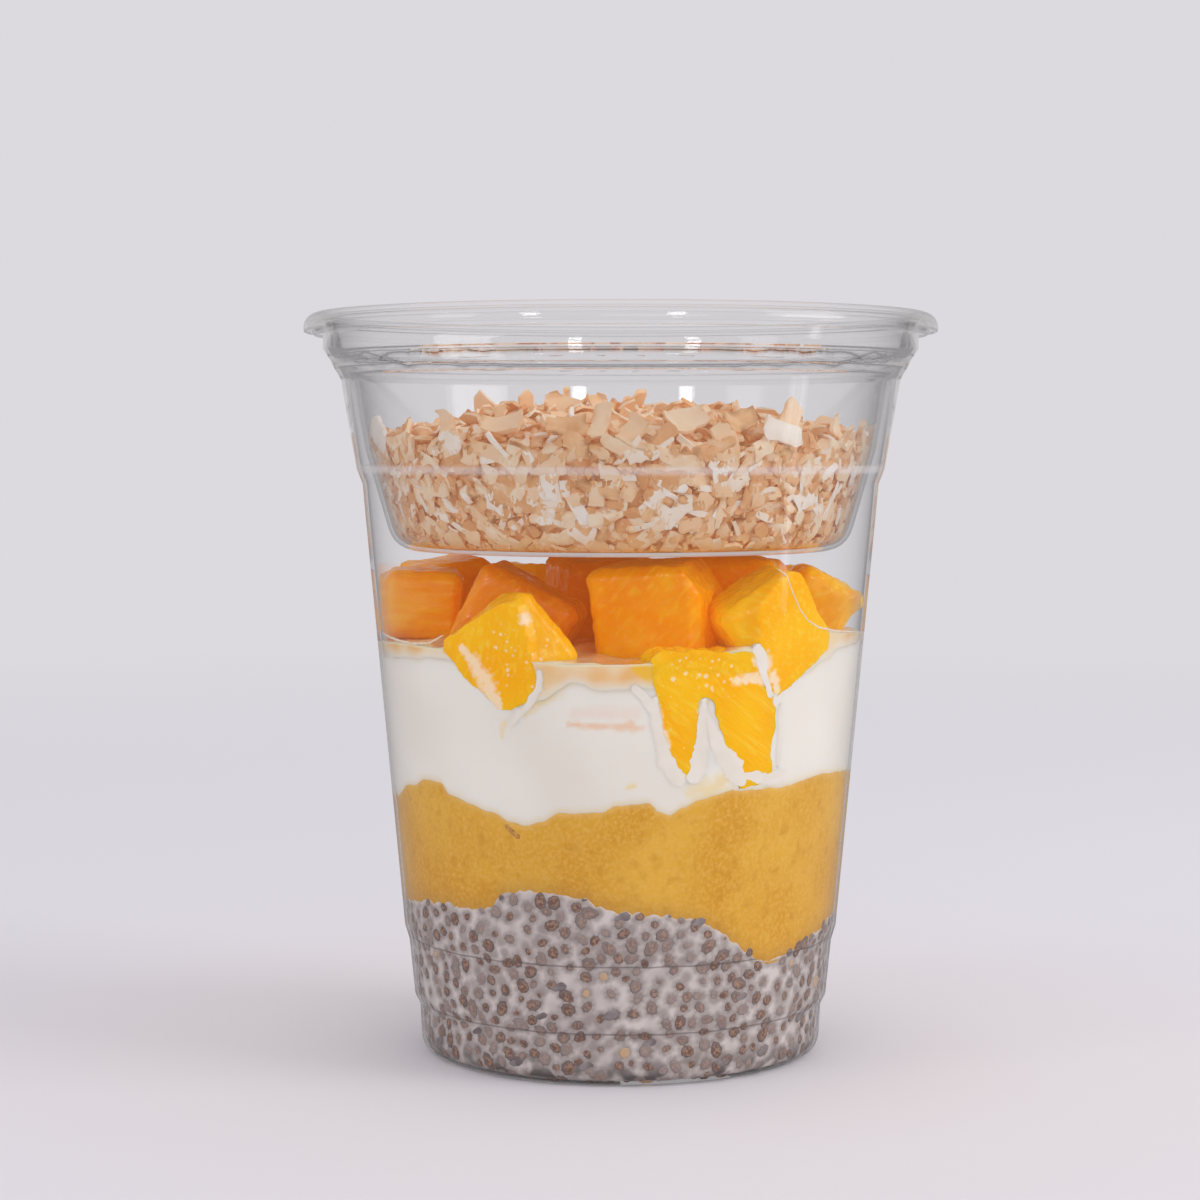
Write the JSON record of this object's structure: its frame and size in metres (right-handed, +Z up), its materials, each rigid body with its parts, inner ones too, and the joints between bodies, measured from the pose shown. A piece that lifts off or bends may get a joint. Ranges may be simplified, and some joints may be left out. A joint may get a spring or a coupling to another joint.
{
  "type": "mango chia pudding",
  "caption": "Clear plastic dessert cup layered with chia pudding, mango puree, yogurt and mango cubes, with toasted coconut flakes in a clear insert seated in its rim.",
  "frame": {"origin": "middle of the base, on the surface that the cup stands on", "axes": "+Z up along the cup's axis, -Y towards the front as pictured, +X to the right"},
  "size_m": [0.0978, 0.0978, 0.1144],
  "materials": {
    "cup": "thin clear moulded plastic, smooth and glossy",
    "insert": "thin clear moulded plastic, smooth and glossy",
    "coconut": "dry flakes, white to toasted golden brown",
    "yogurt": "smooth thick white yogurt, moist",
    "puree": "dull ochre yellow fruit puree, finely grainy, moist",
    "chia": "grey milk gel full of brown swollen seeds, moist",
    "mango": "wet cut fruit, yellow to deep orange, faintly fibrous"
  },
  "bodies": {
    "root": {"cup": "cup", "insert": "insert", "coconut": "coconut", "yogurt": "yogurt", "puree": "puree", "chia": "chia", "mango_01": "mango", "mango_02": "mango", "mango_03": "mango", "mango_04": "mango", "mango_05": "mango", "mango_06": "mango", "mango_07": "mango", "mango_08": "mango", "mango_09": "mango", "mango_10": "mango", "mango_11": "mango", "mango_12": "mango", "mango_13": "mango", "mango_14": "mango", "mango_15": "mango", "mango_16": "mango"}
  },
  "joints": []
}
